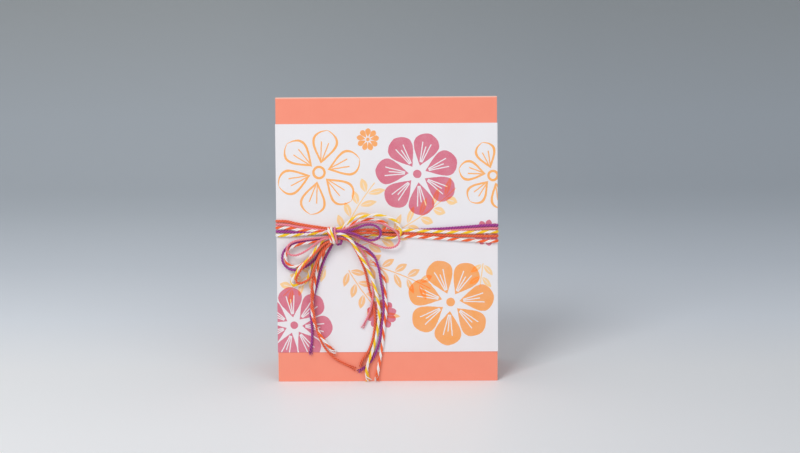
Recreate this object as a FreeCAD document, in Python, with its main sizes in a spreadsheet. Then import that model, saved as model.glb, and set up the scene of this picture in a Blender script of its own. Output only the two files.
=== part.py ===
import FreeCAD, Part
import Sketcher
import math
import os

# A greeting card: one sheet folded along its top, which stands as a low tent, with a white panel
# on its front and five twines tied round the front in a bow.
# The card stands on its two lower edges. X runs across, the front faces -Y and Z is up.

doc = FreeCAD.newDocument("greeting_card")

# Driving dimensions, in millimetres and degrees
sheet = doc.addObject("Spreadsheet::Sheet", "sizes")
driving = {
    "card_width": 108.0,
    "card_height": 139.7,
    "card_thickness": 0.35,
    "fold_radius": 0.8,
    "lean_angle": 7.5,
    "panel_overhang": 0.2,
    "panel_height": 112.2,
    "panel_thickness": 0.3,
    "panel_margin": 14.5,
    "purple_size": 1.0,
    "pink_size": 0.8,
    "yellow_size": 1.3,
    "orange_size": 1.3,
    "coral_size": 0.9,
    "twine_clearance": 0.1,
    "knot_width": 5.0,
    "knot_height": 9.6,
    "knot_depth": 5.8,
    "knot_rounding": 1.4,
    "knot_across": -26.8,
    "knot_up": 71.9,
}
for row, (alias, value) in enumerate(driving.items(), start=1):
    sheet.set(f"A{row}", alias.replace("_", " "))
    sheet.set(f"B{row}", str(value))
    sheet.setAlias(f"B{row}", alias)

# Sizes worked out from the driving ones
worked_out = {
    "panel_width": "=card_width + 2 * panel_overhang",
    "face_run": "=card_height - fold_radius",
    "fold_up": "=face_run * cos(lean_angle * 1deg)"
               " - (fold_radius - card_thickness) * sin(lean_angle * 1deg)",
    "foot_out": "=face_run * sin(lean_angle * 1deg) + fold_radius * cos(lean_angle * 1deg)",
    "foot_up": "=card_thickness * sin(lean_angle * 1deg)",
    "stack": "=card_thickness + panel_thickness",
}
for row, (alias, formula) in enumerate(worked_out.items(), start=len(driving) + 2):
    sheet.set(f"A{row}", alias.replace("_", " "))
    sheet.set(f"B{row}", formula)
    sheet.setAlias(f"B{row}", alias)
doc.recompute()


def size(alias):
    """A size from the sheet as a plain number."""
    return float(getattr(sheet, alias))


# How near two places are taken as one, and the share of a run that each rounded corner of a twine takes
same_place = 0.01
corner_share = 0.45

lean = math.radians(size("lean_angle"))
across_way = FreeCAD.Vector(1, 0, 0)
up_way = FreeCAD.Vector(0, math.sin(lean), math.cos(lean))
out_way = FreeCAD.Vector(0, -math.cos(lean), math.sin(lean))
front_foot = FreeCAD.Vector(0, -size("foot_out"), size("foot_up"))


def on_panel(point):
    """A place on the white panel's face: millimetres across, up from the card's foot, and out."""
    across, up, out = point
    face = front_foot + out_way * size("panel_thickness")
    return face + across_way * across + up_way * up + out_way * out


def lean_on_front(body, across, up, out):
    """Lay a body on the leaning front, its own Z up the card and its own -Y outwards."""
    body.setExpression("Placement.Rotation.Angle", "-sizes.lean_angle * 1deg")
    body.setExpression("Placement.Base.x", across)
    body.setExpression(
        "Placement.Base.y",
        f"-sizes.foot_out + ({up}) * sin(sizes.lean_angle * 1deg)"
        f" - ({out}) * cos(sizes.lean_angle * 1deg)",
    )
    body.setExpression(
        "Placement.Base.z",
        f"sizes.foot_up + ({up}) * cos(sizes.lean_angle * 1deg)"
        f" + ({out}) * sin(sizes.lean_angle * 1deg)",
    )


def origin_plane(body, role):
    """One of a body's own three planes."""
    return next(plane for plane in body.Origin.OriginFeatures if plane.Role == role)


def new_sketch(body, name, role):
    """An empty sketch on one of the body's own planes."""
    sketch = body.newObject("Sketcher::SketchObject", name)
    sketch.AttachmentSupport = (origin_plane(body, role), "")
    sketch.MapMode = "FlatFace"
    return sketch


def bind(sketch, constraint, name, formula):
    """Add a named size to a sketch and bind it to the sheet."""
    index = sketch.addConstraint(constraint)
    sketch.renameConstraint(index, name)
    sketch.setExpression(f"Constraints.{name}", formula)


def make_card_base():
    """The coral sheet: two leaning faces and the round fold between them, one section pulled across."""
    body = doc.addObject("PartDesign::Body", "card_base")
    sketch = new_sketch(body, "card_section", "YZ_Plane")
    outer = size("fold_radius")
    inner = outer - size("card_thickness")
    run = size("face_run")

    def face_point(radius, down, side):
        """A point of the section, measured down a face from where the fold ends."""
        return FreeCAD.Vector(
            side * (radius * math.cos(lean) + down * math.sin(lean)),
            radius * math.sin(lean) - down * math.cos(lean),
            0,
        )

    def fold_arc(radius):
        """The half turn of the fold, seen in section."""
        circle = Part.Circle(FreeCAD.Vector(0, 0, 0), FreeCAD.Vector(0, 0, 1), radius)
        return Part.ArcOfCircle(circle, lean, math.pi - lean)

    def line(first, last):
        """A straight line of the section between two face points."""
        return sketch.addGeometry(Part.LineSegment(face_point(*first), face_point(*last)))

    front, back = -1, 1
    front_outer = line((outer, run, front), (outer, 0, front))
    fold_outer = sketch.addGeometry(fold_arc(outer))
    back_outer = line((outer, 0, back), (outer, run, back))
    back_edge = line((outer, run, back), (inner, run, back))
    back_inner = line((inner, run, back), (inner, 0, back))
    fold_inner = sketch.addGeometry(fold_arc(inner))
    front_inner = line((inner, 0, front), (inner, run, front))
    front_edge = line((inner, run, front), (outer, run, front))

    start, end, centre = 1, 2, 3
    sketch.addConstraint([
        Sketcher.Constraint("Coincident", fold_outer, centre, -1, start),
        Sketcher.Constraint("Coincident", fold_inner, centre, -1, start),
        Sketcher.Constraint("Tangent", front_outer, end, fold_outer, end),
        Sketcher.Constraint("Tangent", fold_outer, start, back_outer, start),
        Sketcher.Constraint("Tangent", back_inner, end, fold_inner, start),
        Sketcher.Constraint("Tangent", fold_inner, end, front_inner, start),
        Sketcher.Constraint("Coincident", back_outer, end, back_edge, start),
        Sketcher.Constraint("Coincident", back_edge, end, back_inner, start),
        Sketcher.Constraint("Coincident", front_inner, end, front_edge, start),
        Sketcher.Constraint("Coincident", front_edge, end, front_outer, start),
        Sketcher.Constraint("Perpendicular", back_outer, back_edge),
        Sketcher.Constraint("Perpendicular", front_outer, front_edge),
        Sketcher.Constraint("Parallel", front_outer, front_inner),
        Sketcher.Constraint("Parallel", back_outer, back_inner),
        Sketcher.Constraint("Equal", front_outer, back_outer),
    ])
    bind(sketch, Sketcher.Constraint("Radius", fold_outer, outer), "fold_outside", "sizes.fold_radius")
    bind(sketch, Sketcher.Constraint("Radius", fold_inner, inner), "fold_inside",
         "sizes.fold_radius - sizes.card_thickness")
    bind(sketch, Sketcher.Constraint("Distance", front_outer, run), "face_run", "sizes.face_run")
    bind(sketch, Sketcher.Constraint("Angle", front_outer, math.pi / 2 - lean), "front_lean",
         "90deg - sizes.lean_angle * 1deg")
    bind(sketch, Sketcher.Constraint("Angle", back_outer, lean - math.pi / 2), "back_lean",
         "sizes.lean_angle * 1deg - 90deg")

    pad = body.newObject("PartDesign::Pad", "card_across")
    pad.Profile = sketch
    pad.SideType = "Symmetric"
    pad.setExpression("Length", "sizes.card_width")
    body.Tip = pad
    body.setExpression("Placement.Base.z", "sizes.fold_up")
    return body


def make_white_panel():
    """The white panel, glued flat on the front."""
    panel = doc.addObject("Part::Box", "white_panel")
    panel.setExpression("Length", "sizes.panel_width")
    panel.setExpression("Width", "sizes.panel_thickness")
    panel.setExpression("Height", "sizes.panel_height")
    panel.Placement.Rotation = FreeCAD.Rotation(FreeCAD.Vector(1, 0, 0), -size("lean_angle"))
    lean_on_front(panel, "-sizes.panel_width / 2", "sizes.panel_margin", "sizes.panel_thickness")
    return panel


def make_bow_knot():
    """The knot: a rounded block whose flat back lies on the white panel."""
    body = doc.addObject("PartDesign::Body", "bow_knot")
    sketch = new_sketch(body, "knot_outline", "XZ_Plane")
    half_width = size("knot_width") / 2
    half_height = size("knot_height") / 2
    corners = [
        FreeCAD.Vector(-half_width, -half_height, 0),
        FreeCAD.Vector(half_width, -half_height, 0),
        FreeCAD.Vector(half_width, half_height, 0),
        FreeCAD.Vector(-half_width, half_height, 0),
    ]
    following = [1, 2, 3, 0]
    for index, after in enumerate(following):
        sketch.addGeometry(Part.LineSegment(corners[index], corners[after]))
    for index, after in enumerate(following):
        sketch.addConstraint(Sketcher.Constraint("Coincident", index, 2, after, 1))
    sketch.addConstraint([
        Sketcher.Constraint("Horizontal", 0),
        Sketcher.Constraint("Horizontal", 2),
        Sketcher.Constraint("Vertical", 1),
        Sketcher.Constraint("Vertical", 3),
        Sketcher.Constraint("Symmetric", 0, 1, 1, 2, -1, 1),
    ])
    bind(sketch, Sketcher.Constraint("Distance", 0, 2 * half_width), "knot_width", "sizes.knot_width")
    bind(sketch, Sketcher.Constraint("Distance", 1, 2 * half_height), "knot_height", "sizes.knot_height")

    pad = body.newObject("PartDesign::Pad", "knot_block")
    pad.Profile = sketch
    pad.setExpression("Length", "sizes.knot_depth")
    doc.recompute()
    back = pad.Shape.BoundBox.YMax
    rounded = [
        f"Edge{index}"
        for index, edge in enumerate(pad.Shape.Edges, start=1)
        if edge.BoundBox.YMin < back - same_place
    ]
    fillet = body.newObject("PartDesign::Fillet", "knot_corners")
    fillet.Base = (pad, rounded)
    fillet.setExpression("Radius", "sizes.knot_rounding")
    body.Tip = fillet
    body.Placement.Rotation = FreeCAD.Rotation(FreeCAD.Vector(1, 0, 0), -size("lean_angle"))
    lean_on_front(body, "sizes.knot_across", "sizes.knot_up", "sizes.panel_thickness")
    return body



# Twine routes: each place is millimetres across, up from the card's foot, and out from the white panel.
# A band runs from the knot round the right edge, behind the front face and round the left edge to the knot.
# Its heights are where it leaves the knot, half way and at the edge; "behind" is how far back it runs there.
band_heights = {
    "purple": {"right": (75.9, 75.6, 76.5), "left": (72.7, 73.3, 73.9), "behind": 4.1},
    "pink": {"right": (74.8, 74.55, 75.1), "left": (75.0, 76.1, 77.6), "behind": 2.9},
    "yellow": {"right": (73.6, 73.35, 73.1), "left": (71.5, 71.9, 72.1), "behind": 2.9},
    "coral": {"right": (72.3, 71.6, 71.0), "left": (76.0, 77.6, 79.5), "behind": 1.5},
    "orange": {"right": (71.1, 70.0, 69.1), "left": (73.9, 74.8, 75.6), "behind": 1.5},
}
band_half_way_right = 16.0
band_half_way_left = -42.0
band_behind_across = 32.0

routes = {
    "yellow_right_loop": [
        (-26.6, 75.9, 2.15), (-21.5, 76.3, 2.15), (-18.5, 78.5, 2.4), (-15.0, 80.6, 3.0),
        (-10.0, 81.7, 3.6), (-5.0, 82.1, 3.8), (-1.0, 81.5, 3.6), (3.0, 79.4, 3.0),
        (6.0, 76.8, 2.4), (7.0, 73.8, 2.2), (5.4, 71.3, 2.15), (1.5, 70.4, 2.15),
        (-3.0, 71.0, 2.15), (-8.0, 71.8, 2.15), (-14.0, 72.1, 2.15), (-20.5, 71.9, 2.15),
        (-26.6, 71.8, 2.15),
    ],
    "orange_right_loop": [
        (-26.6, 74.55, 2.15), (-21.5, 74.9, 2.15), (-18.0, 77.0, 2.3), (-14.5, 79.0, 2.6),
        (-10.0, 80.0, 2.5), (-5.0, 80.2, 2.5), (-1.0, 79.3, 2.4), (0.5, 77.6, 2.3),
        (-0.5, 75.9, 2.2), (-3.2, 75.1, 2.15), (-7.5, 74.8, 2.15), (-13.0, 73.8, 2.15), (-20.0, 73.3, 2.15),
        (-26.6, 73.2, 2.15),
    ],
    "pink_right_loop": [
        (-26.6, 75.3, 3.45), (-21.5, 75.7, 3.45), (-16.5, 77.1, 3.7), (-12.0, 78.3, 3.9),
        (-7.0, 78.6, 3.9), (-2.0, 77.9, 3.9), (1.5, 76.3, 3.8), (4.0, 74.2, 3.6),
        (5.6, 71.5, 3.5), (6.0, 69.2, 3.2), (5.0, 67.2, 3.0), (2.8, 65.9, 2.8),
        (0.0, 65.3, 2.6), (-3.5, 66.3, 2.6), (-8.0, 68.4, 2.8), (-12.0, 70.1, 3.1),
        (-16.0, 71.5, 3.3), (-21.5, 72.3, 3.45), (-26.6, 72.4, 3.45),
    ],
    "coral_right_loop": [
        (-26.6, 74.35, 3.45), (-20.0, 74.3, 3.4), (-14.0, 74.6, 3.4), (-8.5, 75.0, 3.4),
        (-3.0, 74.5, 3.3), (1.5, 74.5, 2.8), (4.9, 74.4, 2.6),
        (4.9, 72.4, 2.7), (0.5, 72.2, 2.9), (-4.5, 72.8, 3.3), (-11.0, 73.3, 3.4),
        (-18.0, 73.35, 3.4), (-26.6, 73.4, 3.45),
    ],
    "purple_right_loop": [
        (-26.6, 74.5, 4.6), (-21.0, 74.6, 4.6), (-17.5, 75.1, 4.7), (-14.0, 76.2, 4.9),
        (-10.5, 77.2, 5.1), (-7.0, 77.2, 5.2), (-4.3, 75.9, 5.2), (-3.0, 73.6, 5.1),
        (-3.6, 71.3, 5.0), (-5.8, 69.9, 4.9), (-8.8, 70.0, 4.8), (-12.0, 71.2, 4.7),
        (-16.0, 72.5, 4.65), (-21.0, 73.3, 4.6), (-26.6, 73.3, 4.6),
    ],
    "purple_left_loop": [
        (-26.8, 71.0, 2.15), (-31.5, 70.9, 2.15), (-36.0, 70.2, 2.1), (-41.0, 69.6, 2.2),
        (-45.0, 68.7, 2.4), (-48.6, 66.9, 2.6), (-50.8, 64.4, 2.6), (-51.7, 61.3, 2.5),
        (-50.8, 58.4, 2.2), (-48.6, 56.2, 1.9), (-45.8, 55.0, 1.8), (-42.5, 55.4, 1.8),
        (-39.6, 56.9, 1.8), (-37.0, 59.4, 1.8), (-34.7, 62.2, 1.9), (-32.3, 64.7, 2.0),
        (-29.8, 66.7, 2.1), (-27.0, 67.9, 2.1),
    ],
    "orange_left_loop": [
        (-26.8, 69.8, 2.15), (-31.0, 69.6, 2.15), (-35.5, 68.9, 2.1), (-40.0, 68.2, 2.2),
        (-44.5, 67.1, 2.4), (-47.6, 65.3, 2.6), (-49.5, 62.7, 2.6), (-49.7, 60.2, 2.4),
        (-48.4, 58.4, 2.1), (-46.0, 57.1, 1.9), (-42.8, 57.5, 1.8), (-39.9, 59.0, 1.8),
        (-37.2, 61.4, 1.8), (-34.8, 64.2, 1.9), (-32.4, 66.8, 2.0), (-29.8, 68.3, 2.1),
        (-26.8, 68.5, 2.15),
    ],
    "pink_left_loop": [
        (-26.8, 72.2, 3.4), (-31.5, 72.0, 3.3), (-36.0, 71.5, 3.2), (-41.0, 70.8, 3.3),
        (-46.0, 69.8, 3.5), (-49.6, 68.2, 3.8), (-51.4, 65.6, 3.9), (-50.9, 62.6, 3.9),
        (-48.2, 61.0, 3.8), (-44.6, 61.2, 3.7), (-41.0, 62.8, 3.8), (-37.8, 64.8, 4.3),
        (-34.6, 67.4, 4.6), (-31.5, 69.8, 4.6), (-26.8, 71.0, 4.6),
    ],
    "yellow_left_loop": [
        (-26.8, 71.0, 3.5), (-30.2, 70.7, 3.5), (-32.8, 68.9, 3.5), (-34.7, 66.2, 3.4),
        (-36.2, 63.2, 3.4), (-38.4, 60.3, 3.4), (-41.0, 57.5, 3.4), (-43.5, 54.9, 3.1),
        (-45.3, 51.9, 2.5), (-46.7, 49.0, 1.9), (-46.3, 46.9, 1.5), (-44.4, 46.6, 1.2),
        (-42.2, 48.4, 1.0), (-40.0, 51.5, 0.8), (-37.6, 55.2, 0.8), (-35.0, 59.6, 0.8),
        (-32.2, 64.2, 0.8), (-29.4, 67.6, 0.8), (-27.0, 69.3, 0.8),
    ],
    "coral_left_loop": [
        (-26.8, 69.6, 4.6), (-29.8, 68.3, 4.6), (-32.4, 65.6, 4.5), (-35.4, 62.0, 4.5),
        (-38.3, 58.9, 4.4), (-41.1, 55.9, 4.2), (-43.2, 53.2, 3.8), (-44.6, 50.6, 3.3),
        (-44.3, 48.5, 3.0), (-42.4, 47.9, 2.9), (-39.8, 49.2, 3.4), (-37.4, 51.2, 4.1),
        (-35.6, 54.6, 4.3), (-34.0, 58.4, 4.4), (-32.2, 62.2, 4.5), (-30.2, 65.6, 4.5),
        (-27.8, 68.6, 4.5),
    ],
    "yellow_right_tail": [
        (-26.6, 71.7, 4.7), (-22.5, 71.6, 4.7), (-18.0, 69.4, 4.6), (-14.8, 65.0, 4.0),
        (-12.4, 60.0, 3.5), (-9.9, 55.2, 3.0), (-7.8, 50.5, 2.8), (-6.0, 45.4, 2.5),
        (-4.7, 39.8, 1.6), (-4.1, 33.5, 1.0), (-4.2, 27.5, 0.8), (-5.4, 21.5, 0.8),
        (-7.0, 16.4, 1.1), (-8.3, 11.8, 1.8), (-9.4, 7.4, 1.7), (-10.0, 4.0, 1.0),
        (-10.1, 1.2, 0.7),
    ],
    "coral_right_tail": [
        (-26.4, 69.4, 3.4), (-22.5, 69.0, 3.4), (-19.0, 67.6, 3.0), (-16.6, 65.0, 2.3),
        (-15.0, 61.6, 1.6), (-13.2, 57.8, 1.1), (-11.3, 53.2, 0.8), (-9.8, 48.0, 0.6),
        (-8.4, 42.5, 0.55), (-7.0, 37.2, 0.6), (-6.2, 31.5, 0.6), (-6.4, 25.5, 0.6),
        (-8.1, 18.8, 0.6), (-10.9, 13.4, 0.6), (-12.7, 10.2, 0.55), (-13.6, 7.4, 0.4),
    ],
    "pink_right_tail": [
        (-26.6, 70.4, 3.4), (-22.0, 70.0, 3.4), (-18.3, 68.5, 3.1), (-15.2, 66.3, 2.8),
        (-12.4, 63.3, 2.3), (-10.2, 59.4, 2.0), (-8.4, 54.8, 1.6), (-7.3, 50.0, 1.4),
        (-6.8, 45.0, 1.3), (-7.3, 39.6, 1.5), (-8.5, 34.6, 1.2), (-10.2, 30.2, 0.7),
        (-12.4, 26.2, 0.5),
    ],
    "purple_right_tail": [
        (-26.6, 71.5, 3.4), (-22.0, 71.3, 3.4), (-17.8, 69.6, 3.4), (-13.6, 67.4, 3.1),
        (-10.0, 64.9, 2.6), (-7.0, 61.6, 2.1), (-5.2, 57.8, 2.0), (-3.8, 53.4, 2.0),
        (-2.8, 48.6, 1.3), (-1.9, 43.6, 0.7), (-1.6, 38.6, 0.6), (-2.0, 33.2, 0.6),
        (-2.7, 27.4, 0.6), (-3.5, 21.4, 0.6), (-4.9, 16.0, 0.6), (-7.1, 11.2, 0.55),
        (-10.5, 7.8, 0.4), (-14.2, 4.8, 0.3),
    ],
    "orange_right_tail": [
        (-26.6, 70.45, 2.1), (-22.0, 70.0, 2.1), (-17.5, 68.6, 1.9), (-13.5, 66.0, 1.6),
        (-10.2, 63.0, 1.2), (-7.4, 59.8, 0.8), (-4.9, 56.2, 0.75), (-2.6, 52.6, 0.75),
        (-0.9, 48.6, 0.75), (-0.3, 44.0, 0.8), (-0.1, 38.5, 0.75), (-0.4, 33.0, 0.75),
        (-1.1, 27.4, 0.8), (-1.8, 21.6, 0.75), (-2.7, 15.8, 0.75), (-3.6, 10.4, 0.7),
        (-4.4, 5.6, 0.7), (-4.8, 1.3, 0.7),
    ],
    "purple_left_tail": [
        (-25.6, 69.3, 2.1), (-26.7, 66.2, 2.0), (-28.8, 62.8, 1.7), (-31.0, 59.2, 1.3),
        (-32.5, 55.0, 1.0), (-33.8, 50.4, 0.8), (-34.9, 45.6, 0.65), (-36.2, 40.4, 0.6),
        (-37.4, 35.2, 0.6), (-37.6, 30.2, 0.6), (-37.1, 25.4, 0.6), (-36.8, 20.8, 0.6),
        (-37.0, 16.8, 0.6), (-37.5, 13.2, 0.5),
    ],
    "orange_left_tail": [
        (-26.6, 69.8, 3.4), (-28.0, 66.6, 3.4), (-30.2, 62.8, 3.2), (-32.2, 58.6, 2.9),
        (-33.9, 54.0, 2.5), (-35.4, 49.2, 2.2), (-36.7, 44.4, 2.0), (-37.4, 39.4, 1.8),
        (-37.1, 34.4, 1.8), (-36.4, 29.8, 1.6), (-35.5, 25.4, 1.2), (-34.1, 21.5, 0.8),
        (-31.8, 18.7, 0.75), (-28.8, 16.8, 0.75), (-25.9, 13.8, 0.7),
    ],
    "coral_left_tail": [
        (-27.0, 69.8, 3.4), (-29.5, 67.1, 3.4), (-31.9, 63.8, 3.3), (-34.0, 60.0, 3.2),
        (-35.4, 55.9, 3.1), (-36.1, 51.6, 3.1), (-36.9, 47.2, 3.2), (-37.2, 42.8, 3.2),
        (-36.8, 38.2, 3.1), (-35.8, 33.6, 2.9), (-34.8, 28.8, 2.6), (-34.0, 24.2, 2.3),
        (-32.7, 20.0, 2.1), (-30.7, 16.2, 1.6), (-27.8, 12.8, 0.9), (-24.2, 10.2, 0.6),
        (-20.0, 8.2, 0.5), (-15.6, 6.6, 0.4),
    ],
}


def band_route(colour):
    """A band's places: across the front, round an edge, behind the front face and back."""
    heights = band_heights[colour]
    half = size(f"{colour}_size") / 2 + size("twine_clearance")
    edge = size("panel_width") / 2 + half
    back = -size("stack") - half
    knot = size("knot_across")
    right_knot, right_middle, right_edge = heights["right"]
    left_knot, left_middle, left_edge = heights["left"]
    behind = -heights["behind"]
    slope = (right_edge - left_edge) / (2 * edge)
    behind_up = (right_edge + left_edge) / 2
    return [
        (knot, right_knot, half),
        (band_half_way_right, right_middle, half),
        (edge, right_edge, half),
        (edge, right_edge, back),
        (band_behind_across, behind_up + slope * band_behind_across, behind),
        (-band_behind_across, behind_up - slope * band_behind_across, behind),
        (-edge, left_edge, back),
        (-edge, left_edge, half),
        (band_half_way_left, left_middle, half),
        (knot, left_knot, half),
    ]


def rounded_path(points):
    """Straight runs joined by tangent arcs, each as large as its two runs allow. Gives wire and radii."""
    edges = []
    radii = []
    start = points[0]
    for before, corner, after in zip(points, points[1:], points[2:]):
        way_in = (corner - before).normalize()
        way_out = (after - corner).normalize()
        turn = way_in.getAngle(way_out)
        tangent = corner_share * min(before.distanceToPoint(corner), after.distanceToPoint(corner))
        radius = tangent / math.tan(turn / 2)
        arc_start = corner - way_in * tangent
        arc_end = corner + way_out * tangent
        inward = (way_out - way_in).normalize()
        middle = corner + inward * (radius / math.cos(turn / 2) - radius)
        edges.append(Part.LineSegment(start, arc_start).toShape())
        edges.append(Part.Arc(arc_start, middle, arc_end).toShape())
        radii.append(radius)
        start = arc_end
    edges.append(Part.LineSegment(start, points[-1]).toShape())
    return Part.Wire(edges), radii


def make_twine(name, route, knot):
    """One stretch of twine: a round tube along its route, cut where it meets the knot."""
    colour = name.split("_")[0]
    radius = size(f"{colour}_size") / 2
    points = [on_panel(place) for place in route]
    path, radii = rounded_path(points)
    ring = Part.Wire(Part.Circle(points[0], points[1] - points[0], radius).toShape())
    tube = path.makePipeShell([ring], True, False)
    whole = doc.addObject("Part::Feature", f"{name}_run")
    whole.Shape = tube
    section = math.pi * radius ** 2
    print(f"{name}: length {path.Length:.1f}, smallest radius {min(radii):.2f},"
          f" volume over section x length {tube.Volume / (section * path.Length):.4f}")
    twine = doc.addObject("Part::Cut", name)
    twine.Base = whole
    twine.Tool = knot
    return twine


card_base = make_card_base()
white_panel = make_white_panel()
bow_knot = make_bow_knot()
doc.recompute()

pieces = [card_base, white_panel, bow_knot]
for colour in band_heights:
    pieces.append(make_twine(f"{colour}_band", band_route(colour), bow_knot))
for name, route in routes.items():
    pieces.append(make_twine(name, route, bow_knot))
doc.recompute()

for thing in doc.Objects:
    if "Invalid" in thing.State or "Error" in thing.State:
        raise RuntimeError(f"{thing.Label} did not build: {thing.State}")
for piece in pieces:
    if piece.Shape.isNull() or not piece.Shape.isValid():
        raise RuntimeError(f"{piece.Label} has no valid shape")

os.makedirs("parts", exist_ok=True)
for piece in pieces:
    piece.Shape.exportStep(f"parts/{piece.Label}.step")
    box = piece.Shape.BoundBox
    print(f"{piece.Label}: {len(piece.Shape.Solids)} solid, volume {piece.Shape.Volume:.1f},"
          f" from ({box.XMin:.2f}, {box.YMin:.2f}, {box.ZMin:.2f})"
          f" to ({box.XMax:.2f}, {box.YMax:.2f}, {box.ZMax:.2f})")
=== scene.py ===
import math
import bpy
import numpy as np
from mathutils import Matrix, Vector


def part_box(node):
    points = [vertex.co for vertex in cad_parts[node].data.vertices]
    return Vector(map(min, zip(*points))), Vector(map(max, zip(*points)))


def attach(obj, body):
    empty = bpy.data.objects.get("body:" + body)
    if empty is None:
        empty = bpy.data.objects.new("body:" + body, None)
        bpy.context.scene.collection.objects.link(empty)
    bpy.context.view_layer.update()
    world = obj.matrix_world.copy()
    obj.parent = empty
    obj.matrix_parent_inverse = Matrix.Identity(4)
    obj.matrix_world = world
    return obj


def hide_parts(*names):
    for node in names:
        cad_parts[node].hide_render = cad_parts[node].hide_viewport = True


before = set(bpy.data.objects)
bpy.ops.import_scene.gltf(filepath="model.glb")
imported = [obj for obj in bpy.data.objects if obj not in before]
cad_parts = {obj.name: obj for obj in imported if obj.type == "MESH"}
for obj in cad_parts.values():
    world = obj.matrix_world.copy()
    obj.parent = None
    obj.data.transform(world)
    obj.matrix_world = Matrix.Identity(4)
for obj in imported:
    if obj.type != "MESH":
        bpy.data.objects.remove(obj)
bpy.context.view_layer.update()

bpy.ops.object.select_all(action="DESELECT")
print("frame loaded")

mm = 0.001

# The card as it stands: how far each face leans, and how thick the sheet and the panel on its front are,
# in millimetres
card = {"lean": math.radians(7.5), "thickness": 0.35, "panelThickness": 0.3}
leanSine, leanCosine = math.sin(card["lean"]), math.cos(card["lean"])
footOut = -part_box("card_base")[0][1] / mm
footUp = card["thickness"] * leanSine
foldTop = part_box("card_base")[1][2] / mm
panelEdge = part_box("white_panel")[1][0] / mm
stack = card["thickness"] + card["panelThickness"]


def onPanel(place):
    # a place in millimetres across, up from the card's foot and out from the white panel
    across, up, out = place
    out = out + card["panelThickness"]
    return Vector((
        across * mm,
        (-footOut + up * leanSine - out * leanCosine) * mm,
        (footUp + up * leanCosine + out * leanSine) * mm,
    ))


# Camera: lengths in millimetres, turns in degrees
view = {
    "lens": 59.6, "sensor": 36.0, "distance": 657.9, "elevation": 11.05, "azimuth": 0.67,
    "roll": -0.487, "aimAcross": 6.3, "aimUp": 73.96, "nearest": 10.0,
}


def makeCamera():
    azimuth, elevation, roll = (math.radians(view[key]) for key in ("azimuth", "elevation", "roll"))
    aim = Vector((view["aimAcross"] * mm, 0, view["aimUp"] * mm))
    ahead = Vector((
        -math.sin(azimuth) * math.cos(elevation),
        math.cos(azimuth) * math.cos(elevation),
        -math.sin(elevation),
    ))
    bpy.ops.object.camera_add(location=aim - ahead * view["distance"] * mm)
    camera = bpy.context.object
    camera.name = "camera"
    camera.rotation_euler = ahead.to_track_quat("-Z", "Y").to_euler()
    camera.rotation_euler.rotate_axis("Z", roll)
    camera.data.sensor_width = view["sensor"]
    camera.data.lens = view["lens"]
    camera.data.clip_start = view["nearest"] * mm
    bpy.context.scene.camera = camera
    camera.select_set(False)


makeCamera()
print("camera placed")


# Shader maths: a socket that can be added, multiplied and compared like a number
class Wire:
    def __init__(self, tree, socket):
        self.tree = tree
        self.socket = socket

    def add(self, kind, settings, sockets, out=0):
        return addNode(self.tree, kind, settings, sockets, out)

    def maths(self, operation, *values):
        return self.add("ShaderNodeMath", {"operation": operation}, dict(enumerate(values)))

    def __add__(self, other):
        return self.maths("ADD", self, other)

    def __radd__(self, other):
        return self.maths("ADD", other, self)

    def __sub__(self, other):
        return self.maths("SUBTRACT", self, other)

    def __rsub__(self, other):
        return self.maths("SUBTRACT", other, self)

    def __mul__(self, other):
        return self.maths("MULTIPLY", self, other)

    def __rmul__(self, other):
        return self.maths("MULTIPLY", other, self)

    def __truediv__(self, other):
        return self.maths("DIVIDE", self, other)

    def __pow__(self, other):
        return self.maths("POWER", self, other)

    def __abs__(self):
        return self.maths("ABSOLUTE", self)

    def clamp(self):
        return self.add("ShaderNodeClamp", {}, {0: self, 1: 0, 2: 1})


def addNode(tree, kind, settings, sockets, out=0):
    node = tree.nodes.new(kind)
    for key, value in settings.items():
        if key == "stops":
            setStops(node.color_ramp.elements, value)
        else:
            setattr(node, key, value)
    for key, value in sockets.items():
        if isinstance(value, Wire):
            tree.links.new(value.socket, node.inputs[key])
        else:
            node.inputs[key].default_value = value
    return Wire(tree, node.outputs[out])


def setStops(elements, stops):
    # a colour ramp's stops, as pairs of place and colour
    while len(elements) < len(stops):
        elements.new(1.0)
    for element, (place, colour) in zip(elements, stops):
        element.position = place
        element.color = colour


def lighter(first, second):
    return first.maths("MAXIMUM", first, second)


def rgb(red, green, blue):
    # a colour as seen on a screen, 0 to 255, as the linear colour that a shader takes
    levels = [level / 255 for level in (red, green, blue)]
    return [v / 12.92 if v <= 0.04045 else ((v + 0.055) / 1.055) ** 2.4 for v in levels] + [1]


def mixColour(factor, first, second, blend="MIX"):
    wire = next(w for w in (factor, first, second) if isinstance(w, Wire))
    settings = {"data_type": "RGBA", "blend_type": blend}
    return wire.add("ShaderNodeMix", settings, {0: factor, 6: first, 7: second}, 2)


def newFinish(name, look, **sockets):
    # a new material with the roughness and gloss of a look, and what else is the same all over
    material = bpy.data.materials.new(name)
    material.use_nodes = True
    shader = material.node_tree.nodes["Principled BSDF"]
    shader.inputs["Roughness"].default_value = look["roughness"]
    shader.inputs["Specular IOR Level"].default_value = look["gloss"]
    for key, value in sockets.items():
        shader.inputs[key.replace("_", " ")].default_value = value
    return material


def feed(material, socketName, wire):
    shader = material.node_tree.nodes["Principled BSDF"]
    material.node_tree.links.new(wire.socket, shader.inputs[socketName])


def feedBump(material, height, look):
    sockets = {"Strength": look["bump"], "Distance": look["depth"] * mm, "Height": height}
    feed(material, "Normal", height.add("ShaderNodeBump", {}, sockets))


def objectPlace(material):
    return addNode(material.node_tree, "ShaderNodeTexCoord", {}, {}, "Object")


def noise(place, size, detail=2.0, roughness=0.5):
    # size is how wide its blotches are, in millimetres
    sockets = {"Vector": place, "Scale": 1 / (size * mm), "Detail": detail, "Roughness": roughness}
    return place.add("ShaderNodeTexNoise", {}, sockets)


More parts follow.
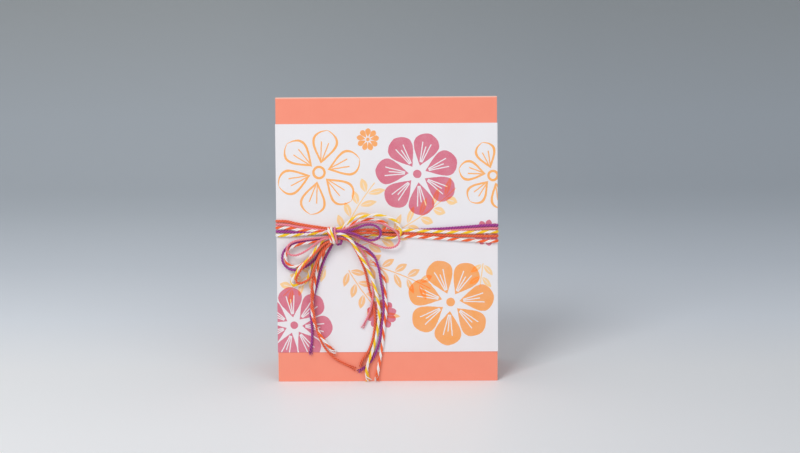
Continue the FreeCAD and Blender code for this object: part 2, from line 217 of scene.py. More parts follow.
def above(wire, start, slope):
    # nothing up to start, and from there a ramp up to 1
    return ((wire - start) * slope).clamp()


def split(place):
    node = place.add("ShaderNodeSeparateXYZ", {}, {0: place}).socket.node
    return [Wire(place.tree, node.outputs[index]) for index in range(3)]


# Card stock: dyed through, with a fine tooth and faint fibres, and a highlight painted paler along the top
# fold, where light catches its ridge
stock = {
    "coral": (246, 148, 124), "shade": (238, 133, 110), "fibre": (250, 168, 146), "fold": (246, 206, 190),
    "roughness": 0.78, "smoothest": 0.7, "fibreRoughness": 0.16, "gloss": 0.28, "bump": 0.22, "depth": 0.03,
    "blotch": 9.0, "blotchShade": 0.5, "blotchMiddle": 0.35,
    "fibreSize": 0.9, "fibreStretch": (1, 1, 2.6), "fibreShade": 0.35, "fibreBump": 0.5,
    "paleFrom": 0.58, "paleSlope": 3, "paleShare": 0.5,
    "tooth": 0.28, "foldReach": 0.75, "foldEven": 0.6, "foldTooth": 0.8,
}


def makeCardStock():
    finish = newFinish("coralCardStock", stock)
    place = objectPlace(finish)
    blotch = noise(place, stock["blotch"], 3)
    stretched = place.add("ShaderNodeMapping", {}, {"Vector": place, "Scale": stock["fibreStretch"]})
    fibre = noise(stretched, stock["fibreSize"], 4, 0.7)
    tooth = noise(place, stock["tooth"], 3, 0.65)
    shaded = (blotch - stock["blotchMiddle"]) * stock["blotchShade"] + (fibre - 0.5) * stock["fibreShade"]
    colour = mixColour(shaded, rgb(*stock["coral"]), rgb(*stock["shade"]))
    pale = above(fibre, stock["paleFrom"], stock["paleSlope"]) * stock["paleShare"]
    colour = mixColour(pale, colour, rgb(*stock["fibre"]))
    up = split(place)[2]
    # painted highlight: paler over the top of the fold, standing for light caught on the fold's ridge
    paintedFoldHighlight = above(up, (foldTop - stock["foldReach"]) * mm, 1 / (stock["foldReach"] * mm))
    paintedFoldHighlight = (paintedFoldHighlight * (stock["foldEven"] + tooth * stock["foldTooth"])).clamp()
    colour = mixColour(paintedFoldHighlight, colour, rgb(*stock["fold"]))
    feed(finish, "Base Color", colour)
    feed(finish, "Roughness", stock["smoothest"] + fibre * stock["fibreRoughness"])
    feedBump(finish, tooth + fibre * stock["fibreBump"], stock)
    return finish


# The white panel's paper, and how the inks are stamped on it, in millimetres
paper = {
    "white": (234, 232, 236), "shade": (232, 228, 230), "roughness": 0.62, "gloss": 0.35,
    "blotch": 26.0, "blotchFrom": 0.4, "blotchSlope": 2.5, "tooth": 0.3, "bump": 0.12, "depth": 0.02,
}
stamping = {
    "edge": 0.12, "wobble": 0.35, "wobbleAcross": 1.6, "wobbleUp": 2.1, "ink": 0.97,
    "cover": 0.8, "uneven": 0.18, "cloud": 4.5, "wear": 0.45, "wearFrom": 0.42, "wearSlope": 1.6,
}
inks = {
    "apricot": (251, 206, 140), "peach": (247, 186, 118), "outline": (252, 170, 68),
    "orange": (249, 160, 66), "raspberry": (213, 96, 124),
}

# The print, in millimetres across and up the panel. Stems with leaves in pairs, each with its foot, its
# heading in degrees, the length of a leaf and how much the stem bends
sprigs = [
    {"at": (-17, 66), "heading": 14, "pairs": 8, "leaf": 9.5, "bend": 0.005, "ink": "apricot"},
    {"at": (-21, 74), "heading": 64, "pairs": 4, "leaf": 9.5, "bend": -0.004, "ink": "apricot"},
    {"at": (-10, 58), "heading": -14, "pairs": 5, "leaf": 9.0, "bend": -0.004, "ink": "peach"},
    {"at": (-19, 55), "heading": -60, "pairs": 5, "leaf": 9.0, "bend": 0.004, "ink": "peach"},
    {"at": (-30, 57), "heading": 203, "pairs": 4, "leaf": 8.5, "bend": 0.008, "ink": "apricot"},
    {"at": (47, 58), "heading": 262, "pairs": 2, "leaf": 8.0, "bend": 0.0, "ink": "apricot"},
]
# Flowers in outline, flowers with slit petals, and small round blooms, each with its centre, its radius
# and how far it is turned, as a share of a petal
flowers = [
    {"kind": "line", "at": (-33, 103), "size": 21, "petals": 6, "turn": 0.2, "ink": "outline"},
    {"kind": "line", "at": (52, 101), "size": 17, "petals": 6, "turn": 0.7, "ink": "outline"},
    {"kind": "full", "at": (31, 39), "size": 21.5, "petals": 7, "turn": 0.35, "ink": "orange"},
    {"kind": "full", "at": (15, 102), "size": 20.5, "petals": 7, "turn": 0.1, "ink": "raspberry"},
    {"kind": "full", "at": (-46, 28), "size": 19, "petals": 7, "turn": 0.6, "ink": "raspberry"},
    {"kind": "button", "at": (-3, 33), "size": 7.5, "petals": 10, "turn": 0.1, "ink": "raspberry"},
    {"kind": "button", "at": (-9, 119), "size": 5.5, "petals": 9, "turn": 0.3, "ink": "orange"},
    {"kind": "button", "at": (49, 73), "size": 6.5, "petals": 9, "turn": 0.5, "ink": "raspberry"},
]

# Shapes of the motifs: lines, ribs and stems in millimetres, the rest as shares of a flower's radius
# or a leaf's length
petalShape = {"foot": 0.2, "tip": 1.0, "width": 0.31, "swell": 1.7, "blunt": 0.6, "fan": 0.17}
fullShape = {
    "slit": 0.26, "slitFrom": 0.29, "middleTo": 0.68, "outerTo": 0.77, "fanFrom": 0.16, "heart": 0.1,
}
lineShape = {
    "line": 0.6, "rimIn": 0.75, "vein": 0.3, "veinFrom": 0.3, "veinTo": 0.72, "fanFrom": 0.2, "heart": 0.13,
}
buttonShape = {"slim": 1.25, "heart": 0.16}
sprigShape = {
    "pitch": 0.74, "splay": math.radians(48), "half": 0.42, "width": 0.17, "stem": 0.28, "rib": 0.16,
    "ribTo": 0.35, "ribClear": 0.8,
}


def inkedInside(depth):
    # ink from a printed edge inwards, where depth is how far inside the edge a place is
    return (depth / stamping["edge"]).clamp()


def inkedBelow(distance, width):
    # ink where a distance is under a width, with a soft printed edge
    return ((width - distance) / stamping["edge"] + 0.5).clamp()


def around(across, up, flower):
    # radius from a flower's centre, then how far along and beside the middle line of its nearest petal
    dx, dy = across - flower["at"][0], up - flower["at"][1]
    radius = (dx * dx + dy * dy) ** 0.5
    petals = flower["petals"]
    share = dx.maths("ARCTAN2", dy, dx) * (petals / math.tau) + (flower["turn"] + petals)
    sector = (share.maths("FRACT", share) - 0.5) * (math.tau / petals)
    return radius, radius * sector.maths("COSINE", sector), abs(radius * sector.maths("SINE", sector))


def petalEdge(along, side, size):
    # how far inside a petal's edge a place is, in millimetres
    foot, tip = size * petalShape["foot"], size * petalShape["tip"]
    share = ((along - foot) / (tip - foot)).clamp() ** petalShape["swell"] * math.pi
    return share.maths("SINE", share) ** petalShape["blunt"] * (size * petalShape["width"]) - side


def besideFan(along, side, start):
    # distance from the two lines that fan out from a petal's foot
    return abs(side - (along - start) * petalShape["fan"])


def printFull(across, up, flower):
    size, slit = flower["size"], fullShape["slit"]
    radius, along, side = around(across, up, flower)
    petal = inkedInside(petalEdge(along, side, size))
    middle = inkedBelow(side, slit) * inkedBelow(along, size * fullShape["middleTo"])
    outer = inkedBelow(besideFan(along, side, size * fullShape["fanFrom"]), slit)
    slits = lighter(middle, outer * inkedBelow(along, size * fullShape["outerTo"]))
    slits = slits * (1 - inkedBelow(along, size * fullShape["slitFrom"]))
    return lighter(petal * (1 - slits), inkedBelow(radius, size * fullShape["heart"]))


def printLine(across, up, flower):
    size, line = flower["size"], lineShape["line"]
    radius, along, side = around(across, up, flower)
    rim = inkedBelow(abs(petalEdge(along, side, size) - lineShape["rimIn"]), line)
    reach = inkedBelow(along, size * lineShape["veinTo"])
    reach = reach * (1 - inkedBelow(along, size * lineShape["veinFrom"]))
    veins = inkedBelow(besideFan(along, side, size * lineShape["fanFrom"]), lineShape["vein"]) * reach
    heart = inkedBelow(abs(radius - size * lineShape["heart"]), line)
    return lighter(lighter(rim, veins), heart)


def printButton(across, up, flower):
    size = flower["size"]
    radius, along, side = around(across, up, flower)
    petal = inkedInside(petalEdge(along, side * buttonShape["slim"], size))
    return lighter(petal, inkedBelow(radius, size * buttonShape["heart"]))


def printSprig(across, up, sprig):
    heading, leaf, splay = math.radians(sprig["heading"]), sprig["leaf"], sprigShape["splay"]
    dx, dy = across - sprig["at"][0], up - sprig["at"][1]
    along = dx * math.cos(heading) + dy * math.sin(heading)
    side = abs(dy * math.cos(heading) - dx * math.sin(heading) - along * along * sprig["bend"])
    pitch, middle = leaf * sprigShape["pitch"], leaf / 2
    share = along / pitch
    near = (share.maths("FRACT", share) - 0.5) * pitch + middle * math.cos(splay)
    onLeaf = near * math.cos(splay) + side * math.sin(splay) - middle
    offLeaf = abs(near * math.sin(splay) - side * math.cos(splay))
    width, half = leaf * sprigShape["width"], leaf * sprigShape["half"]
    leaves = inkedBelow(offLeaf + onLeaf * onLeaf * (width / half ** 2), width)
    rib = inkedBelow(offLeaf, sprigShape["rib"]) * inkedBelow(onLeaf, half * sprigShape["ribTo"])
    stem = inkedBelow(side, sprigShape["stem"])
    length = sprig["pairs"] * pitch
    kept = inkedBelow(abs(along - length / 2), length / 2)
    return lighter(leaves * (1 - rib * sprigShape["ribClear"]), stem) * kept


def wobbled(place, size):
    # a small shift this way and that, in millimetres
    return (noise(place, size, 2) - 0.5) * stamping["wobble"]


def makePrintedPanel():
    finish = newFinish("whitePrintedPanel", paper)
    place = objectPlace(finish)
    x, y, z = split(place)
    across = x / mm + wobbled(place, stamping["wobbleAcross"])
    up = (y * leanSine + z * leanCosine) / mm + (footOut * leanSine - footUp * leanCosine)
    up = up + wobbled(place, stamping["wobbleUp"])
    white = rgb(*paper["white"])
    shaded = above(noise(place, paper["blotch"], 2), paper["blotchFrom"], paper["blotchSlope"])
    tooth = noise(place, paper["tooth"], 3, 0.6)
    colour = mixColour(shaded, white, rgb(*paper["shade"]))
    worn = above(noise(place, stamping["wear"], 3, 0.7), stamping["wearFrom"], stamping["wearSlope"])
    cover = stamping["cover"] + noise(place, stamping["cloud"], 2) * stamping["uneven"]
    cover = cover + worn * stamping["uneven"]
    draw = {"line": printLine, "full": printFull, "button": printButton}
    for ink, tint in inks.items():
        masks = [printSprig(across, up, sprig) for sprig in sprigs if sprig["ink"] == ink]
        masks += [draw[flower["kind"]](across, up, flower) for flower in flowers if flower["ink"] == ink]
        mask = masks[0]
        for other in masks[1:]:
            mask = lighter(mask, other)
        # stamped ink lets what is under it show
        over = [level / under for level, under in zip(rgb(*tint), white)]
        inked = mixColour(stamping["ink"], colour, over, "MULTIPLY")
        colour = mixColour((mask * cover).clamp(), colour, inked)
    feed(finish, "Base Color", colour)
    feedBump(finish, tooth, paper)
    return finish


def dress(node, finish):
    # a piece of the frame keeps its shape and gets its finish
    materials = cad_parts[node].data.materials
    materials.clear()
    materials.append(finish)


dress("card_base", makeCardStock())
dress("white_panel", makePrintedPanel())
print("card and panel finished")


# Twines: width and the length of one turn of the twist, in millimetres, how much fuller the yarn looks
# where it hangs free and where it is held against the panel, and the yarn of each strand
twines = {
    "purple": {"width": 1.0, "lay": 4.2, "swell": 1.24, "held": 1.42, "strands": ["plum"] * 3},
    "pink": {"width": 0.8, "lay": 3.6, "swell": 1.3, "held": 1.65, "strands": ["rose"] * 3},
    "yellow": {
        "width": 1.3, "lay": 7.2, "swell": 1.14, "held": 1.22, "strands": ["lemon"] * 2 + ["milk"] * 2,
    },
    "orange": {
        "width": 1.3, "lay": 7.0, "swell": 1.16, "held": 1.24, "strands": ["flame"] * 2 + ["milk"] * 2,
    },
    "coral": {"width": 0.9, "lay": 4.0, "swell": 1.3, "held": 1.62, "strands": ["brick"] * 3},
}
# Yarns: the colour of each, its darker colour, used for darker fibres and for the shade painted into the
# grooves between strands, and its paler fuzz
yarns = {
    "plum": {"colour": (192, 72, 166), "deep": (86, 20, 94), "fuzz": (202, 116, 192)},
    "rose": {"colour": (255, 160, 172), "deep": (214, 92, 118), "fuzz": (252, 184, 194)},
    "lemon": {"colour": (255, 218, 24), "deep": (252, 196, 8), "fuzz": (255, 234, 120)},
    "milk": {"colour": (253, 250, 248), "deep": (232, 223, 221), "fuzz": (255, 255, 254)},
    "flame": {"colour": (255, 114, 50), "deep": (238, 84, 30), "fuzz": (255, 156, 108)},
    "brick": {"colour": (255, 122, 78), "deep": (198, 56, 30), "fuzz": (250, 150, 116)},
}

# Routes: millimetres across, up from the card's foot, and out from the white panel
# Bands: from the knot across the front to each side edge, and how far back they run behind the front
bands = {
    "purple": {
        "right": [(-26.7, 73.3, 0.7), (-11.2, 73.4, 0.6), (8.2, 74.2, 0.6), (24.8, 75, 0.6),
                  (38.5, 75.9, 0.6), (54, 76.7, 0.6)],
        "left": [(-26.7, 73.3, 0.6), (-41.7, 73.7, 0.6), (-47.3, 73.9, 0.6), (-54.6, 74.2, 0.6)],
        "behind": 4.1,
    },
    "pink": {
        "right": [(-26.7, 73.1, 0.5), (10.1, 73.7, 0.5), (26.4, 74.3, 0.5), (38.2, 74.6, 0.5),
                  (54, 75.2, 0.5)],
        "left": [(-26.7, 74.4, 0.5), (-36.9, 75.5, 0.5), (-45.5, 76.8, 0.5), (-54.5, 77.7, 0.5)],
        "behind": 2.9,
    },
    "yellow": {
        "right": [(-26.6, 73.5, 1.7), (-11, 74, 1.7), (7.5, 74.7, 1.7), (16.7, 74.2, 1.4),
                  (30.1, 73.5, 0.9), (41.5, 73.3, 0.75), (54, 73.5, 0.75)],
        "left": [(-26.7, 73.5, 0.75), (-33.4, 73.4, 0.75), (-43.5, 72.6, 0.75), (-54.6, 72.4, 0.75)],
        "behind": 2.9,
    },
    "coral": {
        "right": [(-26.7, 72.8, 0.55), (10.1, 73.2, 0.55), (26.4, 71.9, 0.55), (38.2, 71.6, 0.55),
                  (54, 71.4, 0.55)],
        "left": [(-26.7, 75.2, 0.55), (-36.9, 76.7, 0.55), (-45.4, 78.2, 0.55), (-54.5, 79.3, 0.55)],
        "behind": 1.5,
    },
    "orange": {
        "right": [(-26.7, 72.1, 0.75), (10.9, 71.7, 0.75), (21.1, 70.8, 0.75), (39, 69.6, 0.75),
                  (54, 68.9, 0.75)],
        "left": [(-26.7, 73.9, 0.75), (-35.6, 74.5, 0.75), (-45.6, 75.2, 0.75), (-54.5, 76, 0.75)],
        "behind": 1.5,
    },
}

# Loops and tails: their routes
routes = {
    "yellow_right_loop": [
        (-26.6, 75.7, 2.2), (-24.2, 76, 2.2), (-22.2, 75.7, 2.2), (-20.3, 77.5, 2.3),
        (-17.9, 79.6, 2.6), (-15.6, 81, 3), (-12.3, 81.7, 3.4), (-8.6, 81.8, 3.7),
        (-4.9, 82.5, 3.8), (-1.3, 81.5, 3.7), (2.2, 80.6, 3.4), (4.7, 78.9, 3),
        (6.5, 76, 2.5), (7.1, 73.9, 2.3), (5.4, 71.1, 2.2), (2.3, 70.8, 2.2),
        (-1.3, 71.4, 2.2), (-6.2, 72.6, 2.2), (-11.8, 73, 2.2), (-20.2, 73.4, 2.2),
        (-26.6, 73.6, 2.2),
    ],
    "orange_right_loop": [
        (-26.6, 74.6, 2.1), (-23.9, 74.6, 2.1), (-21.1, 75.2, 2.2), (-18.9, 76.8, 2.3),
        (-16.8, 78, 2.5), (-13.8, 79.5, 2.6), (-10.6, 80, 2.5), (-7.2, 80.2, 2.5),
        (-3.7, 79.6, 2.4), (-1, 78.5, 2.4), (0.4, 76.5, 2.3), (-1, 74.9, 2.2),
        (-4.5, 74.2, 2.15), (-9, 74, 2.15), (-15.7, 73.7, 2.15), (-21.5, 73.6, 2.15),
        (-26.6, 73.8, 2.15),
    ],
    "pink_right_loop": [
        (-26.5, 74.9, 3.4), (-23.8, 74.8, 3.4), (-21.1, 75, 3.5), (-18.4, 76.2, 3.6),
        (-15.5, 77.8, 3.8), (-12.3, 78.6, 3.9), (-8.7, 78.9, 3.9), (-4.7, 78.6, 3.9),
        (-1.3, 77.9, 3.9), (1.6, 75.9, 3.8), (4.3, 74.5, 3.7), (5.9, 71.9, 3.6),
        (6.3, 69.5, 3.3), (5.1, 67.3, 3.1), (2.3, 66, 2.8), (-1.4, 66.1, 2.6),
        (-5.5, 67.6, 2.6), (-10.2, 69.6, 2.8), (-14.7, 71.3, 3.1), (-18.4, 72.7, 3.3),
        (-22.9, 73.6, 3.4), (-26.5, 73.4, 3.4),
    ],
    "coral_right_loop": [
        (-26.5, 74.2, 3.4), (-21.4, 74.3, 3.4), (-15.9, 74.5, 3.4), (-11, 75.2, 3.4),
        (-6.7, 75.2, 3.3), (-2.3, 74.2, 3.3), (1.5, 74.8, 3), (5.5, 74.5, 2.7),
        (5.9, 72.7, 2.7), (2, 72.4, 2.9), (-1.8, 72.8, 3.3), (-6.1, 73.5, 3.4),
        (-11.9, 73.5, 3.4), (-19.5, 73.6, 3.4), (-26.5, 73.6, 3.4),
    ],
    "purple_right_loop": [
        (-26.5, 74.5, 4.6), (-23.8, 74.3, 4.6), (-20.6, 74.4, 4.6), (-17.4, 75.2, 4.7),
        (-14.2, 76, 4.9), (-11.3, 77.4, 5.1), (-8.3, 77.8, 5.2), (-5.5, 77.2, 5.2),
        (-3.4, 75.7, 5.2), (-2.7, 73.7, 5.1), (-3.4, 71.5, 5), (-5.7, 70.1, 4.9),
        (-8.5, 70, 4.8), (-11.3, 71, 4.7), (-14.2, 72.6, 4.65), (-17.3, 73.7, 4.6),
        (-21.1, 74.2, 4.6), (-26.5, 74.1, 4.6),
    ],
    "purple_left_loop": [
        (-26.8, 70.9, 2.1), (-30.2, 70.7, 2.1), (-34.1, 70.2, 2.1), (-38.6, 69.8, 2.1),
        (-43.1, 69.2, 2.2), (-46.5, 68.3, 2.4), (-49.1, 66.5, 2.6), (-50.8, 64.2, 2.6),
        (-51.4, 61.4, 2.5), (-50.9, 58.9, 2.3), (-49.3, 56.8, 2.1), (-46.8, 55.4, 1.9),
        (-43.8, 55.4, 1.8), (-40.5, 56.6, 1.8), (-37.7, 58.4, 1.8), (-35.5, 60.3, 1.8),
        (-33.8, 62.8, 1.9), (-32, 64.8, 2), (-29.6, 66.9, 2.1), (-27.1, 68.3, 2.1),
    ],
    "orange_left_loop": [
        (-26.8, 70.4, 2.1), (-30.3, 70.2, 2.1), (-33.4, 69.9, 2.1), (-37.1, 69, 2.1),
        (-41.2, 68.4, 2.2), (-44.2, 67.8, 2.4), (-47.3, 66.4, 2.6), (-49.2, 64.3, 2.6),
        (-49.7, 61.5, 2.5), (-49.3, 59.1, 2.3), (-47.1, 57.2, 2.1), (-44.4, 57.1, 1.9),
        (-41.7, 58, 1.8), (-38.9, 60.1, 1.8), (-36.6, 63, 1.8), (-34.3, 65.6, 1.9),
        (-31.6, 67.8, 2), (-29.3, 69.1, 2.1), (-26.9, 69.2, 2.1),
    ],
    "pink_left_loop": [
        (-26.8, 72, 3.3), (-30, 71.5, 3.3), (-34.6, 71.1, 3.2), (-39, 70.7, 3.2),
        (-43.2, 70.1, 3.3), (-46.5, 69.2, 3.5), (-48.5, 67.3, 3.8), (-48.9, 65, 3.9),
        (-47.7, 63.1, 3.9), (-44.9, 62.6, 3.8), (-42, 63.5, 3.7), (-39, 65.2, 3.8),
        (-36, 67.4, 4.3), (-33, 69.7, 4.6), (-30.2, 71.1, 4.6), (-26.7, 71.2, 4.6),
    ],
    "yellow_left_loop": [
        (-26.8, 70.8, 3.5), (-29, 70.8, 3.5), (-31, 70.2, 3.5), (-32.6, 68.6, 3.4),
        (-34.1, 66.6, 3.4), (-35.3, 64.7, 3.4), (-37, 62.4, 3.4), (-39.3, 59.9, 3.4),
        (-41.7, 57.5, 3.4), (-43.6, 55.6, 3.1), (-44.5, 53.3, 2.6), (-46, 51.2, 2.2),
        (-47.1, 49.4, 1.7), (-46.2, 47.8, 1.4), (-44, 47.9, 1.2), (-41.7, 48.4, 1),
        (-39.5, 49.7, 0.8), (-38.6, 51.8, 0.8), (-38.1, 54.5, 0.8), (-36.6, 58.1, 0.8),
        (-34, 63.1, 0.8), (-31.3, 66.6, 0.8), (-27.2, 68.8, 0.8),
    ],
    "coral_left_loop": [
        (-26.7, 69.9, 4.6), (-29.1, 69.3, 4.6), (-31.6, 67.4, 4.5), (-34.1, 64.7, 4.5),
        (-36.3, 62.3, 4.5), (-38.5, 60, 4.4), (-40.7, 57.4, 4.2), (-42.4, 55.2, 3.8),
        (-43.8, 53, 3.4), (-44.7, 50.9, 3.1), (-44.1, 49.1, 3), (-42.4, 48.8, 3),
        (-40, 49.9, 3.3), (-37.7, 51.2, 3.9), (-36.4, 53.3, 4.2), (-35.8, 55.8, 4.3),
        (-34.8, 58.4, 4.4), (-33.3, 61.2, 4.4), (-31.5, 63.8, 4.5), (-29.6, 66.3, 4.5),
        (-27, 68.7, 4.5),
    ],
    "yellow_right_tail": [
        (-26.5, 72.9, 4.7), (-23.7, 73.4, 4.7), (-21.3, 73, 4.7), (-18.8, 71.6, 4.7),
        (-16.9, 69.4, 4.6), (-15.3, 66.6, 4.3), (-13.5, 63.5, 4), (-11.7, 60.3, 3.7),
        (-9.9, 56.9, 3.4), (-8.2, 53.5, 3.1), (-6.9, 50, 2.9), (-5.9, 46.3, 2.7),
        (-4.9, 42, 2.3), (-4.2, 37.4, 1.7), (-4, 32.9, 1.2), (-4.6, 28.4, 0.9),
        (-5.2, 24.3, 0.8), (-6.1, 20, 0.8), (-7.2, 16.3, 1.1), (-8.4, 13, 1.7),
        (-9.6, 9.8, 1.8), (-10.4, 6.7, 1.4), (-10.5, 4.2, 1.1), (-10.1, 1.9, 1),
        (-9.6, 0.5, 1.25),
    ],
    "coral_right_tail": [
        (-26.5, 70.2, 3.4), (-23.8, 70.8, 3.4), (-21.4, 70.9, 3.4), (-18.9, 70.2, 3.1),
        (-17, 68.6, 2.7), (-15.7, 65.9, 2.2), (-14.1, 62.8, 1.7), (-12.7, 59.6, 1.3),
        (-11.3, 56.1, 1), (-10.3, 52.7, 0.8), (-9.6, 49, 0.65), (-8.9, 45.5, 0.6),
        (-7.8, 42, 0.6), (-6.8, 38.2, 0.6), (-6.2, 33.9, 0.6), (-6.1, 29.4, 0.6),
        (-6.6, 24.7, 0.6), (-7.5, 20, 0.6), (-9.2, 15.4, 0.6), (-11.5, 12.1, 0.6),
        (-12.9, 9.9, 0.55), (-13.4, 7.4, 0.4),
    ],
    "pink_right_tail": [
        (-26.6, 71.5, 3.4), (-23.9, 71.9, 3.4), (-20.9, 71.5, 3.3), (-18, 70.3, 3.1),
        (-15, 68, 2.9), (-12.8, 65.5, 2.6), (-11.1, 62.6, 2.3), (-9.6, 59.2, 2),
        (-8.5, 55.4, 1.8), (-7.7, 51.6, 1.6), (-7.1, 47.6, 1.45), (-6.9, 43.6, 1.4),
        (-7.4, 39.6, 1.5), (-8.4, 35.5, 1.3), (-10, 31.2, 0.9), (-12.3, 26.5, 0.5),
    ],
    "purple_right_tail": [
        (-26.6, 72, 3.4), (-23.8, 72.4, 3.4), (-20.9, 71.9, 3.5), (-18, 70.3, 3.5),
        (-15.1, 68.5, 3.4), (-12.1, 66.9, 3.3), (-9.4, 65.3, 3.1), (-7.1, 63.2, 2.8),
        (-5.5, 60.7, 2.5), (-4.5, 57.6, 2.3), (-3.7, 54.3, 2.2), (-3.2, 50.3, 2.1),
        (-2.6, 46.1, 1.8), (-2, 42, 1.2), (-1.7, 38, 0.8), (-2, 33.5, 0.6),
        (-2.6, 29.2, 0.6), (-3.2, 24.7, 0.6), (-3.9, 20.3, 0.6), (-5.3, 15.5, 0.6),
        (-7.3, 11.1, 0.6), (-10.8, 7.2, 0.5), (-14.6, 4.8, 0.3),
    ],
    "orange_right_tail": [
        (-26.6, 70.8, 2.1), (-23.5, 71.4, 2.1), (-19.9, 70.4, 2), (-17.1, 69.2, 1.9),
        (-14.1, 67.8, 1.8), (-11.4, 65.8, 1.6), (-9.1, 63.8, 1.3), (-7.3, 61.2, 1),
        (-5.7, 58.5, 0.8), (-4, 55.8, 0.75), (-2.4, 52.8, 0.75), (-1.3, 49.7, 0.75),
        (-1.2, 46.1, 0.75), (-1.1, 42.4, 0.8), (-0.6, 38.3, 0.8), (-0.6, 34.3, 0.75),
        (-1.3, 30.5, 0.75), (-1.9, 25.9, 0.75), (-2.2, 21.5, 0.8), (-2.8, 17.2, 0.75),
        (-3.6, 13, 0.75), (-4.2, 9.1, 0.9), (-4.9, 5.6, 1), (-5.5, 2.6, 1),
        (-5.6, 0.5, 1.2),
    ],
    "purple_left_tail": [
        (-25.9, 69.3, 2.1), (-26.9, 67.5, 2), (-28.1, 65.2, 1.8), (-29.6, 62.7, 1.5),
        (-31, 59.7, 1.2), (-32.1, 56.8, 1), (-33.1, 53.5, 0.85), (-33.9, 50.1, 0.7),
        (-35, 46.1, 0.65), (-36.3, 42.1, 0.6), (-37.2, 38.2, 0.6), (-37.9, 34.3, 0.6),
        (-37.4, 30.1, 0.6), (-37.1, 25.6, 0.6), (-37.2, 21.1, 0.6), (-37.6, 17.1, 0.6),
        (-38.1, 13.6, 0.5),
    ],
    "orange_left_tail": [
        (-26.6, 69.6, 3.4), (-28.1, 68.1, 3.4), (-29.9, 65.5, 3.3), (-31.5, 62.5, 3.1),
        (-32.8, 59.4, 2.8), (-34.1, 56.1, 2.5), (-34.9, 52.7, 2.3), (-35.5, 49.1, 2.1),
        (-36.1, 45.4, 2), (-36.8, 41.3, 1.9), (-37.1, 37.2, 1.8), (-36.9, 32.9, 1.8),
        (-35.7, 28.7, 1.9), (-34, 24.9, 2.2), (-32.3, 22.1, 2.4), (-30.3, 19.5, 2.2),
        (-28.3, 16.9, 1.6), (-26.1, 14.2, 0.9),
    ],
    "coral_left_tail": [
        (-27, 69.4, 3.4), (-28.9, 68.4, 3.4), (-30.8, 66.3, 3.4), (-32.6, 63.7, 3.3),
        (-33.9, 60.7, 3.2), (-35.1, 57.6, 3.15), (-35.9, 54.2, 3.1), (-36.4, 50.7, 3.15),
        (-36.9, 47, 3.2), (-37.1, 42.9, 3.2), (-36.8, 38.8, 3.1), (-36.1, 34.6, 3),
        (-35.5, 30.4, 2.9), (-34.7, 26.1, 2.7), (-33.4, 21.9, 2.4), (-31.4, 17.8, 2.1),
        (-29, 14.4, 1.6), (-25.9, 11.4, 1), (-22.4, 9.4, 0.7), (-18.8, 7.5, 0.5),
        (-15.9, 6.2, 0.4),
    ],
}

# A band at the side edges, in millimetres: how far it stays off the faces and past the edge, how round it
# turns, for how many of its widths it runs straight, and from where it lies freely behind the front
bandTurn = {"clearance": 0.1, "stand": 0.1, "ease": 0.25, "straight": 6, "behindAcross": 32.0}


def bandRoute(colour):
    # from the knot round the right edge, behind the front face and round the left edge to the knot
    band = bands[colour]
    half = twines[colour]["width"] / 2 + bandTurn["clearance"]
    back = -stack - half
    lead = panelEdge - bandTurn["straight"] * twines[colour]["width"]
    turnAcross, ease, wide = panelEdge + bandTurn["stand"], bandTurn["ease"], bandTurn["behindAcross"]
    rightUp, leftUp = band["right"][-1][1], band["left"][-1][1]
    middle, slope = (rightUp + leftUp) / 2, (rightUp - leftUp) / (2 * panelEdge)
    return band["right"][:-1] + [
        (lead, rightUp, half),
        (turnAcross, rightUp, half + ease),
        (turnAcross, rightUp, back - ease),
        (lead, rightUp, back),
        (wide, middle + slope * wide, -band["behind"]),
        (-wide, middle - slope * wide, -band["behind"]),
        (-lead, leftUp, back),
        (-turnAcross, leftUp, back - ease),
        (-turnAcross, leftUp, half + ease),
        (-lead, leftUp, half),
    ] + band["left"][-2::-1]


def smoothLine(places):
    # the smooth line of a route, whose places are the control points of one NURBS spline
    curve = bpy.data.curves.new("route", "CURVE")
    curve.dimensions = "3D"
    curve.resolution_u = 20
    spline = curve.splines.new("NURBS")
    spline.points.add(len(places) - 1)
    for point, place in zip(spline.points, places):
        point.co = (*onPanel(place), 1)
    spline.order_u = 3
    spline.use_endpoint_u = True
    bare = bpy.data.objects.new("route", curve)
    mesh = bpy.data.meshes.new_from_object(bare)
    line = np.array([vertex.co for vertex in mesh.vertices])
    bpy.data.meshes.remove(mesh)
    bpy.data.curves.remove(curve)
    return line


def distances(line):
    # how far along a line each of its points is
    return np.concatenate([[0], np.cumsum(np.linalg.norm(np.diff(line, axis=0), axis=1))])


def evenly(line, step):
    # a line again, with its points about a step apart
    along = distances(line)
    stops = np.linspace(0, along[-1], max(4, math.ceil(along[-1] / step) + 1))
    return np.stack([np.interp(stops, along, line[:, axis]) for axis in range(3)], axis=1)


def unit(ways):
    return ways / np.linalg.norm(ways, axis=-1, keepdims=True)


def carriedFrames(line, outward=None):
    # two directions square to the line: one nearest to outward, or carried along the line without twisting
    ways = unit(np.gradient(line, axis=0))
    if outward is not None:
        sides = unit(outward - ways * np.sum(ways * outward, axis=1)[:, None])
        return sides, np.cross(ways, sides)
    first = np.cross(ways[0], (0.0, 1.0, 0.0))
    if np.linalg.norm(first) < 0.1:
        first = np.cross(ways[0], (1.0, 0.0, 0.0))
    sides = [unit(first)]
    for way in ways[1:]:
        sides.append(unit(sides[-1] - way * np.dot(sides[-1], way)))
    sides = np.array(sides)
    return sides, np.cross(ways, sides)


faceOut = np.array([0, -leanCosine, leanSine])
faceStart = np.array(onPanel((0, 0, 0)))
# How yarn lies on the card: the share of the panel's thickness that it is lifted out of, how flat an
# edge presses it, and how far off the floor it stays, in millimetres
lying = {"sunkShare": 0.9, "edgePress": 0.6, "floorGap": 0.02}


